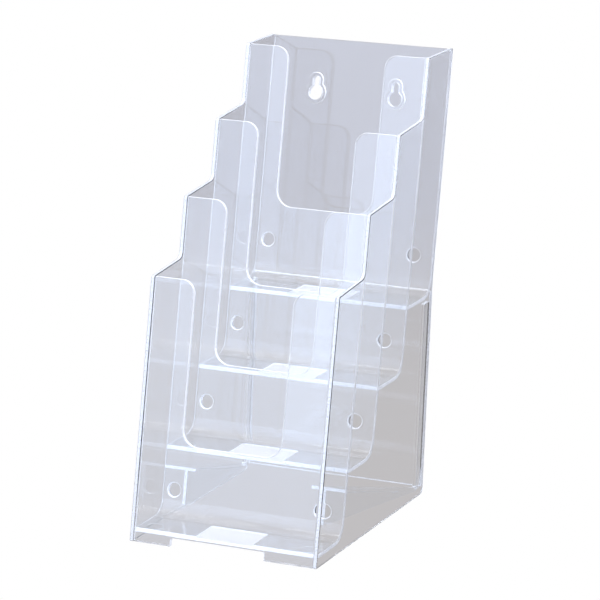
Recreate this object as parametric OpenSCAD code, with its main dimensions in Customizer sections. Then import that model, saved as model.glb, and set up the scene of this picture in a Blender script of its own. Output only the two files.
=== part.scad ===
// Four-tier stepped leaflet holder in clear sheet plastic, bonded from separate sheets.
// Frame: X to the right, Y to the back, Z up. Millimetres.
// The origin is at the middle of the overall width and depth, on the table.

/* [Body] */
// Width over the two side panels
body_w = 118; // [104:1:240]
// Depth of the base where it stands on the table
base_d = 153.5; // [140:0.5:185]
// Distance that each tier stands behind the one in front
tier_back = 42; // [34:0.5:60]
// Height that each tier stands above the one in front
tier_rise = 38; // [30:0.5:60]
// Height of each front panel above its floor, measured along the panel
panel_h = 148; // [120:1:240]
// Angle that the panels lean back from upright, in degrees
lean = 11.5; // [6:0.5:16]
// Height of the feet, from the table to the underside of the lowest floor
foot_h = 5; // [3:0.5:10]

/* [Sheet] */
// Thickness of the side panels
side_t = 2.5; // [2:0.1:4]
// Thickness of the leaning panels and floors
wall_t = 2.5; // [2:0.1:4]
// Inside radius where a floor bends up into its back wall
bend_r = 10; // [5:0.5:14]

/* [Side panels] */
// Rise of each side's stepped edge from its front to the next panel
step_rise = 3; // [0:0.5:8]
// Radius in the inner corner of each step
step_r = 5; // [2:0.5:8]
// Radius of the rear corner at the table
heel_r = 3.5; // [1:0.5:6]

/* [Front cut-outs] */
// Width of the finger cut-out in each front panel
cut_w = 62; // [40:1:76]
// Height of the lip under each cut-out, along the panel
lip_h = 53.5; // [35:0.5:90]
// Radius of the lower corners of a cut-out
cut_r = 10; // [4:0.5:18]
// Radius of the upper corners beside a cut-out
cut_top_r = 8; // [3:0.5:12]
// Width of the gap between the two front feet
foot_gap = 59; // [40:1:70]
// Distance that the gap's middle lies to the left of the holder's middle
gap_shift = 3.5; // [0:0.5:6]

/* [Floors] */
// Width of the textured patch at the front of each floor
patch_w = 36; // [20:1:60]
// Depth of the textured patch from the front panel
patch_d = 21; // [10:0.5:24]
// Depth that the patch is recessed into the floor's top
patch_recess = 0.8; // [0.4:0.1:1.2]
// Diameter of the round pads under each floor
pad_d = 10.4; // [6:0.2:14]
// Thickness of the round pads
pad_t = 0.6; // [0.4:0.1:1.5]
// Distance from a side panel's inner face to a pad's centre
pad_inset = 8.5; // [7.5:0.5:16]
// Distance from the front panel's rear face to a pad's centre
pad_setback = 8; // [7.5:0.5:12]

/* [Wall holes] */
// Diameter of the two holes through each back wall
hole_d = 8; // [4:0.5:8.5]
// Diameter of the countersink round each hole
sink_d = 9.2; // [9:0.1:11]
// Depth of the countersink
sink_h = 0.6; // [0.4:0.1:1.6]
// Distance from the left side panel's inner face to a hole's centre
hole_left = 7.5; // [7.5:0.5:20]
// Distance from the right side panel's inner face to a hole's centre
hole_right = 12; // [7.5:0.5:20]
// Height of each tier's holes above the end of the bend, lowest tier first
hole_lift = [5.5, 9.5, 9.5, 13.5]; // [5.5:0.5:20]

/* [Keyholes] */
// Distance between the two keyholes
key_pitch = 52; // [30:1:64]
// Distance from the top edge down to a keyhole's round opening
key_drop = 32.5; // [24:0.5:60]
// Diameter of the round opening that a screw's head goes through
key_head_d = 9; // [7:0.5:12]
// Width of the slot that holds the screw's shank
key_slot_w = 4.6; // [3:0.1:6]
// Distance from the round opening up to the slot's end centre
key_travel = 7.5; // [6:0.5:12]
// Width of the raised rim round a keyhole
key_rim_w = 2.3; // [1.5:0.1:4]
// Height of the raised rim above the wall
key_rim_h = 1.4; // [0.8:0.1:3]

/* [Rear] */
// Distance from the table to the lower rear panel
rear_gap = 4.5; // [3.5:0.5:15]
// Depth of the flanges that bond the lower rear panel to the sides
flange_d = 9; // [6:0.5:16]
// Height of the seam between the lower rear panel and the upper floor
seam_h = 6; // [3:0.5:9]

/* [Gussets] */
// Width of a gusset's ledge at its front
ledge_w = 19.5; // [12:0.5:30]
// Height of the ledge's front above the table
ledge_h = 34; // [26:0.5:40]
// Height of the ledge's rear end above the table
heel_h = 6; // [5:0.5:14]
// Width of the ledge at its rear end
ledge_tip_w = 1.5; // [1:0.5:4]
// Distance from the side panel to the gusset's web at its front
web_inset = 12.5; // [8:0.5:18]
// Height of the web's front lower corner above the table
web_low = 12; // [8:0.5:20]
// Thickness of the ledge and the web
gusset_t = 2; // [1.5:0.1:3]

/* [Hidden] */

$fn = 48;
arc_steps = 10;
tiers = 4;
rear_wall = tiers + 1;
cut_over = 1;
clearance = 0.4;

side_in = body_w / 2 - side_t;
wall_run = wall_t / cos(lean);
top_z = panel_top(tiers);
bend_z = floor_z(tiers) + bend_r;
overall_d = wall_y(rear_wall, top_z) + wall_run;
key_z = top_z - key_drop * cos(lean);
rear_slope = (wall_y(rear_wall, bend_z) + wall_run - base_d) / bend_z;
rear_run = wall_t * sqrt(1 + rear_slope * rear_slope);

clear_plastic = [0.80, 0.83, 0.88, 0.5];
clear_edge = [0.88, 0.90, 0.94, 0.6];

// Height of the underside of a tier's floor
function floor_z(tier) = foot_h + (tier - 1) * tier_rise;
// Depth of a leaning panel's front face at height z
function wall_y(tier, z) = (tier - 1) * tier_back + (z - (tier - 1) * tier_rise) * tan(lean);
// Height of the front upper edge of a tier's front panel
function panel_top(tier) = floor_z(tier) + panel_h * cos(lean);
// Height at which the bend of a tier's floor ends and its back wall goes on straight
function bend_top(tier) =
    floor_z(tier) + wall_t + bend_r / tan(45 + lean / 2) * cos(lean);
// Depth of the outer face of the lower rear panel at height z
function rear_y(z) = base_d + z * rear_slope;

// Points of an arc of radius r that rounds the corner b between a and c
function round_corner(a, b, c, r) =
    let (u = (a - b) / norm(a - b),
         v = (c - b) / norm(c - b),
         half = acos(u * v) / 2,
         centre = b + (u + v) / norm(u + v) * r / sin(half),
         start = b + u * r / tan(half) - centre,
         end = b + v * r / tan(half) - centre,
         from = atan2(start.y, start.x),
         turn = atan2(end.y, end.x) - from,
         sweep = turn > 180 ? turn - 360 : turn < -180 ? turn + 360 : turn)
    [for (i = [0 : arc_steps])
        centre + r * [cos(from + sweep * i / arc_steps), sin(from + sweep * i / arc_steps)]];

// Point on the front face of a leaning panel, and the point behind it on its rear face
function face_point(tier, z) = [wall_y(tier, z), z];
function back_point(tier, z) = [wall_y(tier, z) + wall_run, z];
function square_back(p) = p + wall_t * [cos(lean), -sin(lean)];

// Side view of a floor that bends up into its back wall
function sheet_outline(tier) =
    let (low = floor_z(tier),
         high = low + wall_t,
         wall = tier + 1,
         top = face_point(wall, tier < tiers ? panel_top(wall) : top_z))
    concat([back_point(tier, low), back_point(tier, high)],
           round_corner(back_point(tier, high), face_point(wall, high), top, bend_r),
           [top, square_back(top)],
           round_corner(square_back(top), back_point(wall, low), back_point(tier, low),
                        bend_r + wall_t));

// Side view of the stepped side panel
function side_outline() =
    concat([face_point(1, 0)],
           [for (tier = [1 : tiers - 1])
               each concat([face_point(tier, panel_top(tier))],
                           round_corner(face_point(tier, panel_top(tier)),
                                        face_point(tier + 1, panel_top(tier) + step_rise),
                                        face_point(tier + 1, panel_top(tier + 1)), step_r))],
           [face_point(tiers, top_z), back_point(rear_wall, top_z),
            back_point(rear_wall, bend_z)],
           round_corner([rear_y(bend_z), bend_z], [rear_y(0), 0], face_point(1, 0), heel_r));

// Extrudes a side view across the width, from x0 for a width w
module across(x0, w) {
    translate([x0, -overall_d / 2, 0]) rotate([90, 0, 90]) linear_extrude(w) children();
}

// Extrudes a plan view upwards to a height h
module upright(h) {
    translate([0, -overall_d / 2, 0]) linear_extrude(h) children();
}

// Places children on a leaning panel: X across, Y through the panel, Z up along it
module on_panel(tier, x, z) {
    translate([x, wall_y(tier, z) - overall_d / 2, z]) rotate([-lean, 0, 0]) children();
}

// Extrudes an outline drawn on a panel's face, from y0 to y1 through the panel
module through_panel(y0, y1) {
    translate([0, y1, 0]) rotate([90, 0, 0]) linear_extrude(y1 - y0) children();
}

// Outline of a finger cut-out, with rounded corners below and beside it
module cut_outline() {
    half = cut_w / 2;
    over = cut_over;
    translate([-half + cut_r, lip_h]) square([cut_w - 2 * cut_r, panel_h - lip_h + over]);
    translate([-half, lip_h + cut_r]) square([cut_w, panel_h - lip_h - cut_r + over]);
    for (side = [-1, 1]) {
        translate([side * (half - cut_r), lip_h + cut_r]) circle(cut_r);
        translate([side * (half + cut_top_r), panel_h - cut_top_r])
            difference() {
                translate([side > 0 ? -cut_top_r : 0, 0]) square([cut_top_r, cut_top_r + over]);
                circle(cut_top_r);
            }
    }
}

// Outline of a keyhole, grown by an even rim
module key_outline(rim) {
    slot_w = key_slot_w + 2 * rim;
    circle(d = key_head_d + 2 * rim);
    translate([-slot_w / 2, 0]) square([slot_w, key_travel]);
    translate([0, key_travel]) circle(d = slot_w);
}

// Cuts a finger cut-out from the front panel of a tier
module finger_cut(tier) {
    on_panel(tier, 0, floor_z(tier)) through_panel(-cut_over, wall_t + cut_over) cut_outline();
}

// Cuts the two countersunk holes low in the back wall of a tier
module wall_holes(tier) {
    for (x = [hole_left - side_in, side_in - hole_right])
        on_panel(tier + 1, x, bend_top(tier) + hole_lift[tier - 1])
            rotate([-90, 0, 0]) {
                translate([0, 0, -cut_over]) cylinder(d = hole_d, h = wall_t + 2 * cut_over);
                cylinder(d1 = sink_d, d2 = hole_d, h = sink_h);
            }
}

// Cuts the shallow recess of the textured patch at the front of a tier's floor
module floor_patch(tier) {
    high = floor_z(tier) + wall_t;
    front_y = wall_y(tier, high) + wall_run;
    translate([-patch_w / 2, front_y - wall_t - overall_d / 2, high - patch_recess])
        cube([patch_w, patch_d + wall_t, patch_recess + cut_over]);
}

// Round pads under the front corners of a tier's floor
module floor_pads(tier) {
    for (side = [-1, 1])
        translate([side * (side_in - pad_inset),
                   wall_y(tier, floor_z(tier)) + wall_run + pad_setback - overall_d / 2,
                   floor_z(tier) - pad_t])
            cylinder(d = pad_d, h = pad_t);
}

// Floor of a tier with its back wall, which is also the next tier's front panel
module step_sheet(tier) {
    difference() {
        across(-side_in, 2 * side_in) polygon(sheet_outline(tier));
        finger_cut(tier + 1);
        wall_holes(tier);
        floor_patch(tier);
    }
    floor_pads(tier);
}

module side_panel(x0) {
    color(clear_plastic) across(x0, side_t) polygon(side_outline());
}

module left_side_panel() {
    side_panel(-body_w / 2);
}

module right_side_panel() {
    side_panel(side_in);
}

// Front panel of the lowest tier, with the two feet
module front_panel() {
    top = face_point(1, panel_top(1));
    color(clear_edge)
        difference() {
            across(-side_in, 2 * side_in)
                polygon([face_point(1, 0), top, square_back(top), back_point(1, 0)]);
            finger_cut(1);
            translate([-foot_gap / 2 - gap_shift, -overall_d / 2 - wall_t, -cut_over])
                cube([foot_gap, 3 * wall_t, foot_h + cut_over]);
        }
}

module first_step_sheet() {
    color(clear_edge) step_sheet(1);
}

module second_step_sheet() {
    color(clear_edge) step_sheet(2);
}

module third_step_sheet() {
    color(clear_edge) step_sheet(3);
}

// Floor of the highest tier with the rear panel, its keyholes and its holes
module rear_sheet() {
    color(clear_plastic) {
        difference() {
            union() {
                across(-side_in, 2 * side_in) polygon(sheet_outline(tiers));
                for (side = [-1, 1])
                    on_panel(rear_wall, side * key_pitch / 2, key_z)
                        through_panel(-key_rim_h, wall_t / 2) key_outline(key_rim_w);
            }
            for (side = [-1, 1])
                on_panel(rear_wall, side * key_pitch / 2, key_z)
                    through_panel(-key_rim_h - cut_over, wall_t + cut_over) key_outline(0);
            wall_holes(tiers);
            floor_patch(tiers);
        }
        floor_pads(tiers);
    }
}

// Panel that closes the back below the highest floor, with a flange along each side
module lower_rear_panel() {
    high = floor_z(tiers) + seam_h;
    flange_top = floor_z(tiers) - wall_t;
    color(clear_plastic) {
        across(-side_in, 2 * side_in)
            difference() {
                polygon([[rear_y(rear_gap) - rear_run, rear_gap], [rear_y(rear_gap), rear_gap],
                         [rear_y(high), high], [rear_y(high) - rear_run, high]]);
                polygon(sheet_outline(tiers));
            }
        for (x0 = [-side_in, side_in - wall_t])
            across(x0, wall_t)
                polygon([[rear_y(rear_gap) - flange_d, rear_gap],
                         [rear_y(rear_gap), rear_gap],
                         [rear_y(flange_top), flange_top],
                         [rear_y(flange_top) - flange_d, flange_top]]);
    }
}

// Sloping ledge with a web under it, behind the lowest back wall, for side = -1 or 1
module gusset(side) {
    front_y = wall_y(2, ledge_h) + wall_run;
    tip_y = rear_y(heel_h) - flange_d - clearance;
    slope = (ledge_h - heel_h) / (tip_y - front_y);
    low_y = wall_y(2, web_low) + wall_run;
    ledge_low = ledge_h - gusset_t;
    color(clear_edge) {
        intersection() {
            across(-side_in, 2 * side_in)
                polygon([back_point(2, ledge_low), [front_y, ledge_h], [tip_y, heel_h],
                         [tip_y, heel_h - gusset_t]]);
            upright(ledge_h)
                polygon([[side * side_in, 0], [side * (side_in - ledge_w), 0],
                         [side * (side_in - ledge_w), front_y],
                         [side * (side_in - ledge_tip_w), tip_y], [side * side_in, tip_y]]);
        }
        intersection() {
            across(-side_in, 2 * side_in)
                polygon([[low_y, web_low], back_point(2, ledge_low),
                         [tip_y, heel_h - gusset_t]]);
            upright(ledge_h)
                polygon([[side * (side_in - web_inset - gusset_t), low_y],
                         [side * (side_in - web_inset), low_y],
                         [side * side_in, tip_y - gusset_t],
                         [side * (side_in - ledge_tip_w), tip_y]]);
        }
    }
}

module left_gusset() {
    gusset(-1);
}

module right_gusset() {
    gusset(1);
}

left_side_panel();
right_side_panel();
front_panel();
first_step_sheet();
second_step_sheet();
third_step_sheet();
rear_sheet();
lower_rear_panel();
left_gusset();
right_gusset();
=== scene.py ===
"""Looks of a four-tier stepped leaflet holder in clear polystyrene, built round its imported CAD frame.
Metres. X to the right, Y to the back, Z up, and the origin under the middle of the holder."""
import math

import bmesh
import bpy
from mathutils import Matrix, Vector


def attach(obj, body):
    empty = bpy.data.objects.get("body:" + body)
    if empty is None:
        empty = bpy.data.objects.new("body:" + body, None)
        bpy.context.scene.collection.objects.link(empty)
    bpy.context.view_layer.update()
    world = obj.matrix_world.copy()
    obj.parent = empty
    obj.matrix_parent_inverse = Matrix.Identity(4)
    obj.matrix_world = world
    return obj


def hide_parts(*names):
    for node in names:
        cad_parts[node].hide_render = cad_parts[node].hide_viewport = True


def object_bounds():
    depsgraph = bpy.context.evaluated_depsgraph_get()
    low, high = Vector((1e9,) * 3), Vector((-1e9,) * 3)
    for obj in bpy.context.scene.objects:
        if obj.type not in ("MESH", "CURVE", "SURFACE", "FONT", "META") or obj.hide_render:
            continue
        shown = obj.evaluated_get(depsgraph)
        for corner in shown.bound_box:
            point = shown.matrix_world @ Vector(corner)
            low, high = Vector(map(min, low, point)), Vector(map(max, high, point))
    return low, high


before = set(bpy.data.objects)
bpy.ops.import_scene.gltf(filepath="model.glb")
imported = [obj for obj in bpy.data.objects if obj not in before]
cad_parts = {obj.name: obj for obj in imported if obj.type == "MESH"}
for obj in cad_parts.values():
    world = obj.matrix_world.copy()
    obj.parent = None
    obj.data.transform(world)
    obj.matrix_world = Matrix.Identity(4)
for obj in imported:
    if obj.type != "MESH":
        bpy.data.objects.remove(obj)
cad_low, cad_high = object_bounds()

MM = 0.001

# Body, as in the CAD source
BODY_W = 118 * MM
BASE_D = 153.5 * MM
TIER_BACK = 42 * MM
TIER_RISE = 38 * MM
PANEL_H = 148 * MM
LEAN = math.radians(11.5)
FOOT_H = 5 * MM
SIDE_T = 2.5 * MM
WALL_T = 2.5 * MM
BEND_R = 10 * MM
TIERS = 4
REAR_WALL = TIERS + 1

# Side panels
STEP_RISE = 3 * MM
STEP_R = 5 * MM
HEEL_R = 3.5 * MM
NOSE_R = 1.2 * MM

# Cut-outs in the front panels, and the gap between the front feet
CUT_HALF = 31 * MM
LIP_H = 53.5 * MM
CUT_R = 10 * MM
CUT_TOP_R = 8 * MM
GAP_HALF = 29.5 * MM
GAP_SHIFT = -3.5 * MM   # the gap's middle, to the left of the holder's middle
FOOT_R = 1.5 * MM

# Floors
PATCH_W = 36 * MM
PATCH_D = 21 * MM
PATCH_RECESS = 0.8 * MM
PATCH_R = 1.2 * MM
PAD_D = 10.4 * MM
PAD_T = 0.6 * MM
PAD_INSET = 8.5 * MM
PAD_SETBACK = 8 * MM

# Countersunk holes low in the back walls
HOLE_R = 4 * MM
SINK_R = 4.6 * MM
SINK_H = 0.6 * MM
HOLE_LEFT = 7.5 * MM
HOLE_RIGHT = 12 * MM
HOLE_LIFT = (5.5 * MM, 9.5 * MM, 9.5 * MM, 13.5 * MM)     # above the bend, lowest tier first

# Keyholes
KEY_HALF_PITCH = 26 * MM
KEY_DROP = 32.5 * MM
KEY_HEAD_R = 4.5 * MM
KEY_SLOT_R = 2.3 * MM
KEY_TRAVEL = 7.5 * MM
KEY_RIM_W = 2.3 * MM
KEY_RIM_H = 1.4 * MM

# Rear
REAR_GAP = 4.5 * MM
FLANGE_D = 9 * MM
SEAM_H = 3.6 * MM

# Gussets behind the lowest back wall
LEDGE_W = 19.5 * MM
LEDGE_H = 34 * MM
HEEL_H = 6 * MM
LEDGE_TIP_W = 1.5 * MM
WEB_INSET = 12.5 * MM
WEB_LOW = 12 * MM
GUSSET_T = 2 * MM
GUSSET_GAP = 0.4 * MM
WEB_LIP = 0.6 * MM

# Making
BOND = 0.05 * MM        # thickness of the bond line between two sheets
SHARP = math.radians(50)         # angle past which an edge is rounded
SMOOTH = math.radians(35)        # angle up to which faces are shaded as one
NONPLANAR = math.radians(0.2)    # bend past which a face is split
EDGE_R = 0.45 * MM      # rounding of a moulded sheet's edges
FINE_R = 0.2 * MM       # rounding of pads and gussets
RIM_R = 0.5 * MM        # rounding of the keyholes' rims
OVER = 1 * MM           # how far a cutter reaches past what it cuts
WELD = 0.001 * MM       # distance under which two points are one
FACE = 0                # material of a sheet's faces
EDGE = 1                # material of a sheet's edges
TEXTURE = 2             # material of the textured patch

SIDE_IN = BODY_W / 2 - SIDE_T
WALL_RUN = WALL_T / math.cos(LEAN)
BEND_LEG = BEND_R / math.tan((math.pi / 2 + LEAN) / 2)
FRONT = cad_low.y


def floor_z(tier):
    """Height of the underside of a tier's floor."""
    return FOOT_H + (tier - 1) * TIER_RISE


def wall_y(tier, z):
    """Depth of a leaning panel's front face at height z."""
    return FRONT + (tier - 1) * TIER_BACK + (z - (tier - 1) * TIER_RISE) * math.tan(LEAN)


def panel_top(tier):
    """Height of the front upper edge of a tier's front panel."""
    return floor_z(tier) + PANEL_H * math.cos(LEAN)


TOP_Z = panel_top(TIERS)
BEND_Z = floor_z(TIERS) + BEND_R
REAR_SLOPE = (wall_y(REAR_WALL, BEND_Z) + WALL_RUN - FRONT - BASE_D) / BEND_Z
REAR_RUN = WALL_T * math.sqrt(1 + REAR_SLOPE * REAR_SLOPE)
INTO = Vector((0, math.cos(LEAN), -math.sin(LEAN)))
ALONG = Vector((0, math.sin(LEAN), math.cos(LEAN)))


def rear_y(z):
    """Depth of the outer face of the lower rear panel at height z."""
    return FRONT + BASE_D + z * REAR_SLOPE


def on_panel(tier, x, up, into=0.0):
    """Point on a leaning panel, up along it from its tier's floor and into it from its front face."""
    foot = Vector((x, wall_y(tier, floor_z(tier)), floor_z(tier)))
    return foot + ALONG * up + INTO * into


def up_to(tier, z):
    """Distance along a leaning panel from its tier's floor to height z on its front face."""
    return (z - floor_z(tier)) / math.cos(LEAN)


# Modelling


def clear_selection():
    if bpy.context.object and bpy.context.object.mode != "OBJECT":
        bpy.ops.object.mode_set(mode="OBJECT")
    bpy.ops.object.select_all(action="DESELECT")


def only(piece):
    """Makes a piece the one that the next operators act on."""
    clear_selection()
    piece.select_set(True)
    bpy.context.view_layer.objects.active = piece


def settle():
    """Puts the new primitive's place, turn and scale into its mesh."""
    bpy.ops.object.transform_apply(location=True, rotation=True, scale=True)
    return bpy.context.object


def edit(piece):
    only(piece)
    bpy.ops.object.mode_set(mode="EDIT")


def done():
    bpy.ops.object.mode_set(mode="OBJECT")


def pick(kind, test):
    """Selects the vertices, edges or faces of the piece being edited whose middle passes the test."""
    bpy.ops.mesh.select_mode(type=kind)
    bpy.ops.mesh.select_all(action="DESELECT")
    mesh = bmesh.from_edit_mesh(bpy.context.object.data)
    parts = {"VERT": mesh.verts, "EDGE": mesh.edges, "FACE": mesh.faces}[kind]
    for part in parts:
        points = [part.co] if kind == "VERT" else [v.co for v in part.verts]
        if test(sum(points, Vector()) / len(points), part):
            part.select_set(True)
    mesh.select_flush_mode()
    bmesh.update_edit_mesh(bpy.context.object.data)


def near(point, reach=0.01 * MM):
    """Test that passes what has its middle at a point."""
    return lambda middle, part: (middle - Vector(point)).length < reach


def anything(middle, part):
    """Test that passes everything."""
    return True


def facing(direction):
    """Test that passes faces that look in a direction."""
    return lambda middle, part: part.normal.dot(Vector(direction).normalized()) > 0.999


def coat(piece, finish):
    """Gives a piece its materials: its faces' first, then its edges', then its textured patch's."""
    for material in finish:
        piece.data.materials.append(material)


def mark(test, index=EDGE):
    """Gives the faces of the piece being edited that pass a test the edge material, or another one."""
    pick("FACE", test)
    bpy.context.object.active_material_index = index
    bpy.ops.object.material_slot_assign()


def draw(name, corners, finish):
    """Draws a closed outline corner by corner and fills it. The piece is left in edit mode."""
    clear_selection()
    corners = [Vector(c) for c in corners]
    bpy.ops.mesh.primitive_plane_add(size=MM, location=corners[0])
    piece = settle()
    piece.name = name
    coat(piece, finish)
    edit(piece)
    bpy.ops.mesh.select_mode(type="VERT")
    bpy.ops.mesh.select_all(action="SELECT")
    bpy.ops.mesh.merge(type="CENTER")
    for here, there in zip(corners, corners[1:] + corners[:1]):
        step = {"value": there - here}
        bpy.ops.mesh.extrude_vertices_move(TRANSFORM_OT_translate=step)
    bpy.ops.mesh.select_all(action="SELECT")
    bpy.ops.mesh.remove_doubles(threshold=WELD)
    bpy.ops.mesh.select_all(action="SELECT")
    bpy.ops.mesh.edge_face_add()
    return piece


def round_corner(corners, index, radius, segments=10):
    """Rounds one corner of the outline being edited."""
    corner = Vector(corners[index])
    a = Vector(corners[index - 1]) - corner
    b = Vector(corners[(index + 1) % len(corners)]) - corner
    leg = radius / math.tan(a.angle(b) / 2)
    pick("VERT", near(corner))
    bpy.ops.mesh.bevel(offset=leg, offset_type="OFFSET", affect="VERTICES", segments=segments)


def push(step):
    """Extrudes what is selected by one step."""
    bpy.ops.mesh.extrude_region_move(TRANSFORM_OT_translate={"value": Vector(step)})


def thicken(step, index=EDGE):
    """Gives the outline being edited its thickness, with the edge material or another round it."""
    bpy.ops.mesh.select_mode(type="FACE")
    bpy.ops.mesh.select_all(action="SELECT")
    push(step)
    outward()
    through = Vector(step).normalized()
    mark(lambda middle, part: abs(part.normal.dot(through)) < 0.9, index)


def outward():
    """Welds the piece being edited and turns all its faces outwards."""
    bpy.ops.mesh.select_all(action="SELECT")
    bpy.ops.mesh.remove_doubles(threshold=WELD)
    bpy.ops.mesh.normals_make_consistent(inside=False)


def slice_off(point, direction, index=EDGE):
    """Cuts away what lies past a plane, in that direction, and closes the cut with a face."""
    point, direction = Vector(point), Vector(direction)
    bpy.ops.mesh.select_all(action="SELECT")
    bpy.ops.mesh.bisect(plane_co=point, plane_no=direction, use_fill=True, clear_outer=True)
    outward()
    mark(lambda middle, part: part.normal.dot(direction) > 0.999
         and abs((middle - point).dot(direction)) < WELD, index)


def modify(piece, kind, **settings):
    """Adds a modifier with its settings and applies it."""
    only(piece)
    bpy.ops.object.modifier_add(type=kind)
    modifier = piece.modifiers[-1]
    for key, value in settings.items():
        setattr(modifier, key, value)
    bpy.ops.object.modifier_apply(modifier=modifier.name)


def ease(piece, radius, segments=3, index=-1):
    """Rounds the edges of a piece slightly, as a mould does. At -1 they take a neighbour's material."""
    modify(piece, "BEVEL", width=radius, segments=segments, limit_method="ANGLE",
           angle_limit=SHARP, use_clamp_overlap=True, material=index)


def carve(piece, tool, how="DIFFERENCE"):
    """Cuts a tool from a piece, or joins it on, and throws the tool away."""
    modify(piece, "BOOLEAN", operation=how, solver="EXACT", object=tool)
    bpy.data.objects.remove(tool)


def copy(piece, name, shift):
    """Copies a piece with its own mesh and moves the copy."""
    only(piece)
    bpy.ops.object.duplicate(linked=False)
    twin = bpy.context.object
    twin.name = name
    edit(twin)
    bpy.ops.mesh.select_all(action="SELECT")
    bpy.ops.transform.translate(value=shift)
    done()
    return twin


def mirror(piece, name):
    """Copies a piece to the other side of the holder."""
    twin = copy(piece, name, (0, 0, 0))
    edit(twin)
    bpy.ops.mesh.select_all(action="SELECT")
    bpy.ops.transform.resize(value=(-1, 1, 1), center_override=(0, 0, 0))
    outward()
    done()
    return twin


def finish_piece(piece, slot, *nodes):
    """Smooths a finished piece and puts it in the place of its CAD nodes."""
    edit(piece)
    outward()
    done()
    bpy.ops.object.shade_smooth_by_angle(angle=SMOOTH)
    modify(piece, "WEIGHTED_NORMAL", mode="FACE_AREA", weight=100, keep_sharp=True)
    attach(piece, "root")
    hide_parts(*nodes)


# Pieces


def side_panel(name, x0, finish):
    """Stepped side panel, drawn in side view and given its thickness."""
    corners = [(x0, wall_y(1, 0), 0)]
    inner = []
    nose = []
    for tier in range(1, TIERS):
        top = panel_top(tier)
        nose.append(len(corners))
        corners.append((x0, wall_y(tier, top), top))
        inner.append(len(corners))
        corners.append((x0, wall_y(tier + 1, top + STEP_RISE), top + STEP_RISE))
    nose.append(len(corners))
    corners.append((x0, wall_y(TIERS, TOP_Z), TOP_Z))
    nose.append(len(corners))
    corners.append((x0, wall_y(REAR_WALL, TOP_Z) + WALL_RUN, TOP_Z))
    corners.append((x0, rear_y(BEND_Z), BEND_Z))
    heel = len(corners)
    corners.append((x0, rear_y(0), 0))
    piece = draw(name, corners, finish)
    for index in inner:
        round_corner(corners, index, STEP_R)
    for index in nose:
        round_corner(corners, index, NOSE_R, 4)
    round_corner(corners, heel, HEEL_R)
    thicken((SIDE_T, 0, 0))
    done()
    ease(piece, EDGE_R, 4, FACE)
    return piece


def cut_panel_corners(tier, low):
    """Outline of a front panel from a height up, with its finger cut-out, and its round corners."""
    half = SIDE_IN - BOND
    across = [
        (-half, low, 0),
        (-half, PANEL_H, 0),
        (-CUT_HALF, PANEL_H, CUT_TOP_R),
        (-CUT_HALF, LIP_H, CUT_R),
        (CUT_HALF, LIP_H, CUT_R),
        (CUT_HALF, PANEL_H, CUT_TOP_R),
        (half, PANEL_H, 0),
        (half, low, 0),
    ]
    corners = [on_panel(tier, x, up) for x, up, radius in across]
    rounds = [(index, radius) for index, (x, up, radius) in enumerate(across) if radius]
    return corners, rounds


def front_panel(finish):
    """Front panel of the lowest tier, standing on its two feet."""
    corners, rounds = cut_panel_corners(1, up_to(1, 0) - OVER)
    gap_left = GAP_SHIFT - GAP_HALF
    gap_right = GAP_SHIFT + GAP_HALF
    feet = [(gap_right, -OVER, 0), (gap_right, FOOT_H, FOOT_R),
            (gap_left, FOOT_H, FOOT_R), (gap_left, -OVER, 0)]
    for x, z, radius in feet:
        if radius:
            rounds.append((len(corners), radius))
        corners.append(on_panel(1, x, up_to(1, z) if z > 0 else up_to(1, 0) - OVER))
    piece = draw("front_pocket_wall", corners, finish)
    for index, radius in rounds:
        round_corner(corners, index, radius)
    thicken(INTO * WALL_T)
    slice_off((0, 0, 0), (0, 0, -1), FACE)
    done()
    ease(piece, EDGE_R)
    return piece


def bent_sheet(name, tier, corners, rounds, finish):
    """Back wall drawn on its front face, with its floor drawn out from the foot and the bend rolled."""
    piece = draw(name, corners, finish)
    for index, radius in rounds:
        round_corner(corners, index, radius)
    foot = (corners[0] + corners[-1]) / 2
    front = wall_y(tier, floor_z(tier)) - OVER
    pick("EDGE", near(foot))
    push((0, front - foot.y, 0))
    pick("EDGE", near(foot))
    bpy.ops.mesh.bevel(offset=BEND_LEG, offset_type="OFFSET", affect="EDGES", segments=14)
    outward()
    mesh = bmesh.from_edit_mesh(piece.data)
    wall = max(mesh.faces, key=lambda face: face.calc_area())
    if wall.normal.y > 0:
        bpy.ops.mesh.flip_normals()
    done()
    modify(piece, "SOLIDIFY", thickness=WALL_T, offset=-1, use_even_offset=True,
           material_offset_rim=1)
    edit(piece)
    slice_off(on_panel(tier, 0, 0, WALL_T + BOND), -INTO)
    done()
    ease(piece, EDGE_R)
    return piece


def patch_tool(tier, finish):
    """Block that cuts the shallow recess of the textured patch at the front of a floor."""
    clear_selection()
    top = floor_z(tier) + WALL_T
    rear = wall_y(tier, top) + WALL_RUN + PATCH_D
    depth = PATCH_D + OVER
    height = PATCH_RECESS + OVER
    middle_z = top - PATCH_RECESS + height / 2
    bpy.ops.mesh.primitive_cube_add(
        size=1,
        location=(0, rear - depth / 2, middle_z),
        scale=(PATCH_W, depth, height),
    )
    tool = settle()
    coat(tool, finish)
    edit(tool)
    pick("EDGE", lambda middle, part: abs(abs(middle.x) - PATCH_W / 2) < WELD
         and middle.y > rear - WELD and abs(middle.z - middle_z) < WELD)
    bpy.ops.mesh.bevel(offset=PATCH_R, offset_type="OFFSET", affect="EDGES", segments=5)
    outward()
    mark(anything)
    mark(facing((0, 0, -1)), TEXTURE)
    done()
    return tool


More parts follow.
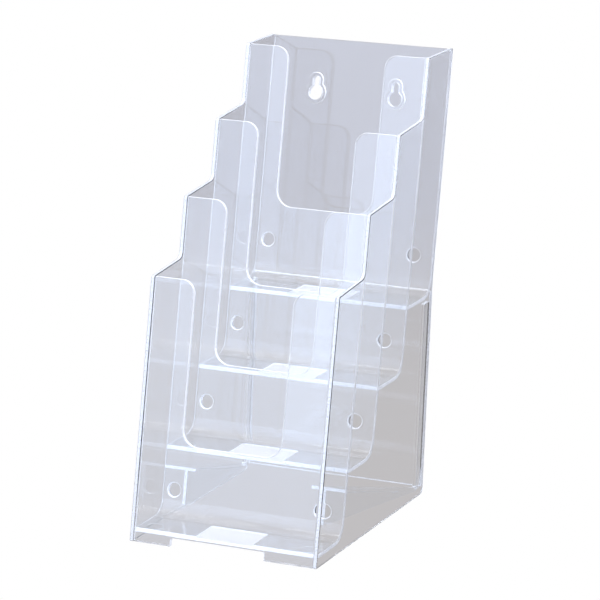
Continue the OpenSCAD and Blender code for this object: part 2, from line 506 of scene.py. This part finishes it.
def hole_tool(tier, x, finish):
    """Countersink bit for a hole low in the back wall of a tier."""
    clear_selection()
    bend_top = floor_z(tier) + WALL_T + BEND_LEG * math.cos(LEAN)
    up = up_to(tier + 1, bend_top + HOLE_LIFT[tier - 1])
    depth = WALL_T - SINK_H + OVER
    centre = on_panel(tier + 1, x, up, SINK_H + depth / 2)
    bpy.ops.mesh.primitive_cylinder_add(vertices=48, radius=HOLE_R, depth=depth, location=centre,
                                        rotation=(-math.pi / 2 - LEAN, 0, 0))
    tool = settle()
    coat(tool, finish)
    edit(tool)
    pick("FACE", facing(-INTO))
    for step, scale in ((SINK_H, SINK_R / HOLE_R), (OVER, 1)):
        push(-INTO * step)
        here = on_panel(tier + 1, x, up, 0)
        bpy.ops.transform.resize(value=(scale, scale, scale), center_override=here)
    outward()
    mark(lambda middle, part: abs(part.normal.dot(INTO)) > 0.1)
    done()
    return tool


def pad_tool(tier, x, finish):
    """Round pad under the front corner of a floor."""
    clear_selection()
    y = wall_y(tier, floor_z(tier)) + WALL_RUN + PAD_SETBACK
    depth = 2 * PAD_T
    bpy.ops.mesh.primitive_cylinder_add(vertices=48, radius=PAD_D / 2, depth=depth,
                                        location=(x, y, floor_z(tier)))
    tool = settle()
    coat(tool, finish)
    edit(tool)
    pick("FACE", facing((0, 0, -1)))
    bpy.ops.mesh.bevel(offset=FINE_R, offset_type="OFFSET", affect="EDGES", segments=3)
    outward()
    mark(lambda middle, part: abs(part.normal.z) < 0.9)
    done()
    return tool


def key_outline(x, rim, into):
    """Outline of a keyhole on the rear wall, grown by a rim."""
    up = up_to(REAR_WALL, TOP_Z) - KEY_DROP
    head = KEY_HEAD_R + rim
    slot = KEY_SLOT_R + rim
    neck = math.asin(slot / head)
    points = []
    steps = 32
    for i in range(steps + 1):
        turn = neck + (2 * math.pi - 2 * neck) * i / steps
        points.append((-head * math.sin(turn), head * math.cos(turn)))
    arc = 16
    for i in range(arc + 1):
        turn = math.pi * i / arc
        points.append((slot * math.cos(turn), KEY_TRAVEL + slot * math.sin(turn)))
    return [on_panel(REAR_WALL, x + dx, up + dz, into) for dx, dz in points]


def key_tool(x, rim, near_face, far_face, finish):
    """Keyhole plug, or its raised rim, between two depths of the rear wall."""
    tool = draw("keyhole", key_outline(x, rim, near_face), finish)
    thicken(INTO * (far_face - near_face))
    done()
    return tool


def fit_out(piece, tier, finish):
    """Pads and patch of one bent sheet."""
    for side in (-1, 1):
        carve(piece, pad_tool(tier, side * (SIDE_IN - PAD_INSET), finish), "UNION")
    carve(piece, patch_tool(tier, finish))


def drill(piece, tier, finish):
    """Cuts the two holes low in the back wall of a bent sheet."""
    for x in (HOLE_LEFT - SIDE_IN, SIDE_IN - HOLE_RIGHT):
        carve(piece, hole_tool(tier, x, finish))


def first_step(finish):
    """Lowest floor, bent up into the wall that is also the second tier's front panel."""
    corners, rounds = cut_panel_corners(2, up_to(2, floor_z(1) + WALL_T))
    piece = bent_sheet("first_step", 1, corners, rounds, finish)
    fit_out(piece, 1, finish)
    return piece


def rear_wall(finish):
    """Highest floor, bent up into the rear wall with its two keyholes."""
    half = SIDE_IN - BOND
    low = up_to(REAR_WALL, floor_z(TIERS) + WALL_T)
    high = up_to(REAR_WALL, TOP_Z)
    corners = [on_panel(REAR_WALL, x, up) for x, up in
               ((-half, low), (-half, high), (half, high), (half, low))]
    piece = bent_sheet("rear_wall", TIERS, corners, [], finish)
    for side in (-1, 1):
        x = side * KEY_HALF_PITCH
        rim = key_tool(x, KEY_RIM_W, -KEY_RIM_H, WALL_T / 2, finish)
        ease(rim, RIM_R)
        carve(piece, rim, "UNION")
        carve(piece, key_tool(x, 0, -KEY_RIM_H - OVER, WALL_T + OVER, finish))
    fit_out(piece, TIERS, finish)
    return piece


def lower_back(finish):
    """Panel that closes the back below the highest floor, with a flange along each side."""
    half = SIDE_IN - BOND
    inner = rear_y(REAR_GAP) - REAR_RUN
    corners = [Vector((x, y, REAR_GAP)) for x, y in
               ((-half, inner), (half, inner), (half, inner + REAR_RUN), (-half, inner + REAR_RUN))]
    piece = draw("lower_back", corners, finish)
    bpy.ops.mesh.select_all(action="SELECT")
    rise = floor_z(TIERS) + SEAM_H - REAR_GAP
    push((0, rise * REAR_SLOPE, rise))
    outward()
    flange_top = floor_z(TIERS) - WALL_T
    for plane, normal in (((WALL_T - half, 0, 0), (1, 0, 0)), ((half - WALL_T, 0, 0), (1, 0, 0)),
                          ((0, 0, flange_top), (0, 0, 1))):
        bpy.ops.mesh.select_all(action="SELECT")
        bpy.ops.mesh.bisect(plane_co=plane, plane_no=normal)
    pick("FACE", lambda middle, part: part.normal.y < -0.9 and middle.z < flange_top
         and abs(middle.x) > half - WALL_T)
    push((0, REAR_RUN - FLANGE_D, 0))
    outward()
    mark(lambda middle, part: abs(part.normal.z) > 0.9
         or (abs(middle.x) > half - WELD and middle.y > rear_y(middle.z) - REAR_RUN))
    done()
    ease(piece, EDGE_R)
    return piece


def left_gusset(finish):
    """Sloping ledge with a web under it, in the corner behind the lowest back wall."""
    front_y = wall_y(2, LEDGE_H) + WALL_RUN + BOND
    tip_y = rear_y(HEEL_H) - FLANGE_D - GUSSET_GAP
    wall = BOND - SIDE_IN
    drop = (LEDGE_H - HEEL_H) / (tip_y - front_y)
    plan = [(wall, front_y - OVER), (LEDGE_W - SIDE_IN, front_y - OVER),
            (LEDGE_W - SIDE_IN, front_y), (LEDGE_TIP_W - SIDE_IN, tip_y), (wall, tip_y)]
    corners = [Vector((x, y, LEDGE_H - (y - front_y) * drop)) for x, y in plan]
    piece = draw("left_corner_gusset", corners, finish)
    thicken((0, 0, -GUSSET_T), FACE)
    web_front = Vector((WEB_INSET - SIDE_IN, front_y, 0))
    web_back = Vector((LEDGE_TIP_W - SIDE_IN - 0.3 * GUSSET_T, tip_y, 0))
    run = (web_back - web_front).normalized()
    across = Vector((run.y, -run.x, 0))
    for place in (web_front, web_front + across * GUSSET_T):
        bpy.ops.mesh.select_all(action="SELECT")
        bpy.ops.mesh.bisect(plane_co=place, plane_no=across)
    slice_off((0, front_y, LEDGE_H), -INTO)
    pick("FACE", lambda middle, part: part.normal.z < -0.9
         and 0 < (middle - web_front).dot(across) < GUSSET_T)
    push((0, 0, -WEB_LIP))
    lowest = LEDGE_H - GUSSET_T - WEB_LIP
    foot = Vector((0, wall_y(2, WEB_LOW) - wall_y(2, lowest), WEB_LOW - lowest))
    pick("EDGE", lambda middle, part: abs(middle.y - front_y) < OVER
         and middle.z < lowest + 0.3 * MM and abs(part.verts[0].co.y - part.verts[1].co.y) < OVER
         and 0 < (middle - web_front).dot(across) < GUSSET_T)
    bpy.ops.transform.translate(value=foot)
    outward()
    done()
    ease(piece, FINE_R, 2)
    edit(piece)
    bpy.ops.mesh.select_all(action="SELECT")
    bpy.ops.mesh.vert_connect_nonplanar(angle_limit=NONPLANAR)
    done()
    return piece


# Materials


def linear(code):
    """Linear colour of an sRGB hex code."""
    parts = [int(code[i:i + 2], 16) / 255 for i in (0, 2, 4)]
    return [p / 12.92 if p <= 0.04045 else ((p + 0.055) / 1.055) ** 2.4 for p in parts] + [1]


def add(tree, kind, settings=None, links=None):
    """Adds a node with its settings or socket values, and links what feeds its sockets."""
    made = tree.nodes.new(kind)
    for key, value in (settings or {}).items():
        if hasattr(made, str(key)):
            setattr(made, key, value)
        else:
            made.inputs[key].default_value = value
    for key, source in (links or {}).items():
        tree.links.new(source, made.inputs[key])
    return made


def start_plastic(name):
    """New material with an empty tree and the piece's own coordinates."""
    material = bpy.data.materials.new(name)
    material.use_nodes = True
    tree = material.node_tree
    tree.nodes.clear()
    return material, tree, add(tree, "ShaderNodeTexCoord")


def finish_plastic(tree, body):
    """Puts a plastic on the output, with light shadows because light goes through it."""
    path = add(tree, "ShaderNodeLightPath")
    through = add(tree, "ShaderNodeBsdfTransparent", {"Color": linear("F2F4F7")})
    mix = add(tree, "ShaderNodeMixShader", None, {0: path.outputs["Is Shadow Ray"]})
    tree.links.new(body.outputs["BSDF"], mix.inputs[1])
    tree.links.new(through.outputs["BSDF"], mix.inputs[2])
    add(tree, "ShaderNodeOutputMaterial", None, {"Surface": mix.outputs["Shader"]})


def clear_polystyrene(name, tint, roughness, wave_mm, wave_depth):
    """Injection-moulded clear polystyrene: bright, slightly cool, with a faint uneven skin."""
    material, tree, place = start_plastic(name)
    flow = add(tree, "ShaderNodeTexNoise", {"Scale": 1 / (wave_mm * MM), "Detail": 2.0},
               {"Vector": place.outputs["Object"]})
    grain = add(tree, "ShaderNodeTexNoise", {"Scale": 1 / (1.5 * MM), "Detail": 3.0},
                {"Vector": place.outputs["Object"]})
    skin = add(tree, "ShaderNodeMapRange", {"From Min": 0.35, "From Max": 0.75,
                                            "To Min": roughness * 0.4, "To Max": roughness},
               {"Value": grain.outputs["Fac"]})
    bump = add(tree, "ShaderNodeBump", {"Strength": 1.0, "Distance": wave_depth * MM},
               {"Height": flow.outputs["Fac"]})
    body = add(tree, "ShaderNodeBsdfPrincipled",
               {"Base Color": linear(tint), "IOR": 1.59, "Transmission Weight": 1.0},
               {"Roughness": skin.outputs["Result"], "Normal": bump.outputs["Normal"]})
    finish_plastic(tree, body)
    return material


def trimmed_edge(name, tint, clear, roughness):
    """Edge of a moulded polystyrene sheet: slightly frosted, so that it glows white."""
    material, tree, place = start_plastic(name)
    grit = add(tree, "ShaderNodeTexNoise", {"Scale": 1 / (0.8 * MM), "Detail": 3.0},
               {"Vector": place.outputs["Object"]})
    frost = add(tree, "ShaderNodeMapRange", {"From Min": 0.3, "From Max": 0.7,
                                             "To Min": roughness * 0.7, "To Max": roughness * 1.3},
                {"Value": grit.outputs["Fac"]})
    body = add(tree, "ShaderNodeBsdfPrincipled",
               {"Base Color": linear(tint), "IOR": 1.59, "Transmission Weight": clear},
               {"Roughness": frost.outputs["Result"]})
    finish_plastic(tree, body)
    return material


def textured_patch(name, tint, clear, grain_mm, grain_depth):
    """Spark-textured patch in a polystyrene floor: matt and white among the clear faces."""
    material, tree, place = start_plastic(name)
    grain = add(tree, "ShaderNodeTexNoise", {"Scale": 1 / (grain_mm * MM), "Detail": 2.0},
                {"Vector": place.outputs["Object"]})
    bump = add(tree, "ShaderNodeBump", {"Strength": 1.0, "Distance": grain_depth * MM},
               {"Height": grain.outputs["Fac"]})
    body = add(tree, "ShaderNodeBsdfPrincipled",
               {"Base Color": linear(tint), "IOR": 1.59, "Transmission Weight": clear,
                "Roughness": 0.6},
               {"Normal": bump.outputs["Normal"]})
    finish_plastic(tree, body)
    return material


# Stage


def stage_floor():
    """Plain pale floor that glows by its own emission rather than being lit: white in the open, and a
    painted light grey where it shows through the plastic, darker towards the back as painted light
    falloff.
    """
    clear_selection()
    bpy.ops.mesh.primitive_plane_add(size=12, location=(0, 0, 0))
    floor = settle()
    floor.name = "studio_floor"
    material = bpy.data.materials.new("glowing floor with painted darkening")
    material.use_nodes = True
    tree = material.node_tree
    tree.nodes.clear()
    path = add(tree, "ShaderNodeLightPath")
    place = add(tree, "ShaderNodeTexCoord")
    axes = add(tree, "ShaderNodeSeparateXYZ", None, {0: place.outputs["Object"]})
    # Painted light falloff: the grey the floor glows with through the plastic goes darker from 0.2 m to
    # 0.9 m behind the holder.
    painted_backward_darkening = add(tree, "ShaderNodeMapRange", {"interpolation_type": "SMOOTHSTEP", "From Min": 0.2,
                                            "From Max": 0.9, "To Min": 0.0, "To Max": 1.0},
               {"Value": axes.outputs["Y"]})
    painted_floor_grey = add(tree, "ShaderNodeMixRGB", {"Color1": linear("C3C0C1"), "Color2": linear("B6B5BC")},
               {"Fac": painted_backward_darkening.outputs["Result"]})
    # The floor glows with this painted grey instead of being lit by the lamps.
    painted_grey_glow = add(tree, "ShaderNodeEmission", {"Strength": 1.0}, {"Color": painted_floor_grey.outputs["Color"]})
    white = add(tree, "ShaderNodeEmission", {"Color": linear("FFFFFF"), "Strength": 1.0})
    mix = add(tree, "ShaderNodeMixShader", None, {0: path.outputs["Is Camera Ray"]})
    tree.links.new(painted_grey_glow.outputs["Emission"], mix.inputs[1])
    tree.links.new(white.outputs["Emission"], mix.inputs[2])
    add(tree, "ShaderNodeOutputMaterial", None, {"Surface": mix.outputs["Shader"]})
    floor.data.materials.append(material)


def studio_world():
    """Soft room light: cool bright front, grey back, dark flags aside, white where seen bare."""
    world = bpy.data.worlds.new("studio")
    bpy.context.scene.world = world
    world.use_nodes = True
    tree = world.node_tree
    tree.nodes.clear()
    place = add(tree, "ShaderNodeTexCoord")
    axes = add(tree, "ShaderNodeSeparateXYZ", None, {0: place.outputs["Generated"]})
    ahead = add(tree, "ShaderNodeMapRange", {"interpolation_type": "SMOOTHSTEP", "From Min": 0.3,
                                             "From Max": -0.7, "To Min": 0.0, "To Max": 1.0},
                {"Value": axes.outputs["Y"]})
    rise = add(tree, "ShaderNodeMapRange", {"From Min": 0.0, "From Max": 0.22,
                                            "To Min": 1.3, "To Max": 2.75},
               {"Value": axes.outputs["Z"]})
    cool = add(tree, "ShaderNodeBackground", {"Color": linear("DEE9FF")},
               {"Strength": rise.outputs["Result"]})
    grey = add(tree, "ShaderNodeBackground", {"Color": linear("B4B4BA"), "Strength": 1.0})
    white = add(tree, "ShaderNodeBackground", {"Color": linear("FFFFFF"), "Strength": 1.0})
    open_room = add(tree, "ShaderNodeMixShader", None, {0: ahead.outputs["Result"]})
    tree.links.new(grey.outputs["Background"], open_room.inputs[1])
    tree.links.new(cool.outputs["Background"], open_room.inputs[2])
    aside = add(tree, "ShaderNodeMath", {"operation": "ABSOLUTE"}, {0: axes.outputs["X"]})
    flag = add(tree, "ShaderNodeMapRange", {"interpolation_type": "SMOOTHSTEP", "From Min": 0.8,
                                            "From Max": 0.95, "To Min": 0.0, "To Max": 1.0},
               {"Value": aside.outputs["Value"]})
    dark = add(tree, "ShaderNodeBackground", {"Color": linear("8E9096"), "Strength": 1.0})
    room = add(tree, "ShaderNodeMixShader", None, {0: flag.outputs["Result"]})
    tree.links.new(open_room.outputs["Shader"], room.inputs[1])
    tree.links.new(dark.outputs["Background"], room.inputs[2])
    path = add(tree, "ShaderNodeLightPath")
    mix = add(tree, "ShaderNodeMixShader", None, {0: path.outputs["Is Camera Ray"]})
    tree.links.new(room.outputs["Shader"], mix.inputs[1])
    tree.links.new(white.outputs["Background"], mix.inputs[2])
    add(tree, "ShaderNodeOutputWorld", None, {"Surface": mix.outputs["Shader"]})


def softbox(name, size, place, aim, power, colour):
    """Rectangular area light at a place, turned to what it lights."""
    clear_selection()
    bpy.ops.object.light_add(type="AREA", location=place)
    light = bpy.context.object
    light.name = name
    light.data.shape = "RECTANGLE"
    light.data.size, light.data.size_y = size
    light.data.energy = power
    light.data.color = linear(colour)[:3]
    light.rotation_mode = "QUATERNION"
    light.rotation_quaternion = (Vector(aim) - Vector(place)).to_track_quat("-Z", "Y")


def camera():
    """Long lens from the front right, a little above, shifted to put the holder in its place."""
    distance = 1.907
    azimuth = math.radians(25.15)
    height = math.radians(14.75)
    back = Vector((math.sin(azimuth) * math.cos(height), -math.cos(azimuth) * math.cos(height),
                   math.sin(height)))
    aim = Vector((0, -0.02167, 0.125))
    bpy.ops.object.camera_add()
    eye = bpy.context.object
    eye.name = "camera"
    eye.location = aim + back * distance
    eye.rotation_mode = "QUATERNION"
    eye.rotation_quaternion = (-back).to_track_quat("-Z", "Y")
    eye.data.sensor_width = 36
    eye.data.lens = 198.3
    eye.data.shift_x = 0.0368
    eye.data.shift_y = 0.0187
    eye.data.clip_end = 50
    bpy.context.scene.camera = eye


def main():
    panel_finish = [
        clear_polystyrene("clear polystyrene, moulded panels", "FDFEFF", 0.02, 30, 0.02),
        trimmed_edge("clear polystyrene, panel edges", "FAFBFD", 0.25, 0.3),
    ]
    sheet_finish = panel_finish + [
        textured_patch("textured polystyrene, floor patches", "E9E6E9", 0.55, 0.5, 0.03),
    ]
    side_finish = [
        clear_polystyrene("clear polystyrene, moulded sides", "FCFDFE", 0.02, 40, 0.02),
        trimmed_edge("clear polystyrene, side edges", "E6E8EC", 0.4, 0.3),
    ]
    gusset_finish = [
        clear_polystyrene("clear polystyrene, moulded gussets", "F8FAFC", 0.05, 15, 0.02),
        trimmed_edge("clear polystyrene, gusset edges", "FCFDFF", 0.25, 0.3),
    ]
    left = side_panel("left_side", -BODY_W / 2, side_finish)
    right = copy(left, "right_side", (BODY_W - SIDE_T, 0, 0))
    front = front_panel(panel_finish)
    first = first_step(sheet_finish)
    second = copy(first, "second_step", (0, TIER_BACK, TIER_RISE))
    third = copy(first, "third_step", (0, 2 * TIER_BACK, 2 * TIER_RISE))
    rear = rear_wall(sheet_finish)
    for tier, sheet in enumerate((first, second, third, rear), 1):
        drill(sheet, tier, sheet_finish)
    back = lower_back(panel_finish)
    rib = left_gusset(gusset_finish)
    other_rib = mirror(rib, "right_corner_gusset")
    finish_piece(left, "side_plastic", "left_side_panel")
    finish_piece(right, "side_plastic", "right_side_panel")
    finish_piece(front, "panel_plastic", "front_panel")
    finish_piece(first, "panel_plastic", "first_step_sheet")
    finish_piece(second, "panel_plastic", "second_step_sheet")
    finish_piece(third, "panel_plastic", "third_step_sheet")
    finish_piece(rear, "panel_plastic", "rear_sheet")
    finish_piece(back, "panel_plastic", "lower_rear_panel")
    finish_piece(rib, "gusset_plastic", "left_gusset")
    finish_piece(other_rib, "gusset_plastic", "right_gusset")
    stage_floor()
    studio_world()
    softbox("overhead softbox", size=(1.6, 1.6), place=(0.2, -0.2, 2.0), aim=(0, 0, 0.1),
            power=30, colour="FFFFFF")
    camera()
    scene = bpy.context.scene
    scene.view_settings.view_transform = "Standard"
    scene.cycles.max_bounces = 48
    scene.cycles.transmission_bounces = 48
    scene.cycles.transparent_max_bounces = 48
    scene.cycles.glossy_bounces = 24
    scene.cycles.diffuse_bounces = 6


main()
bpy.context.view_layer.update()
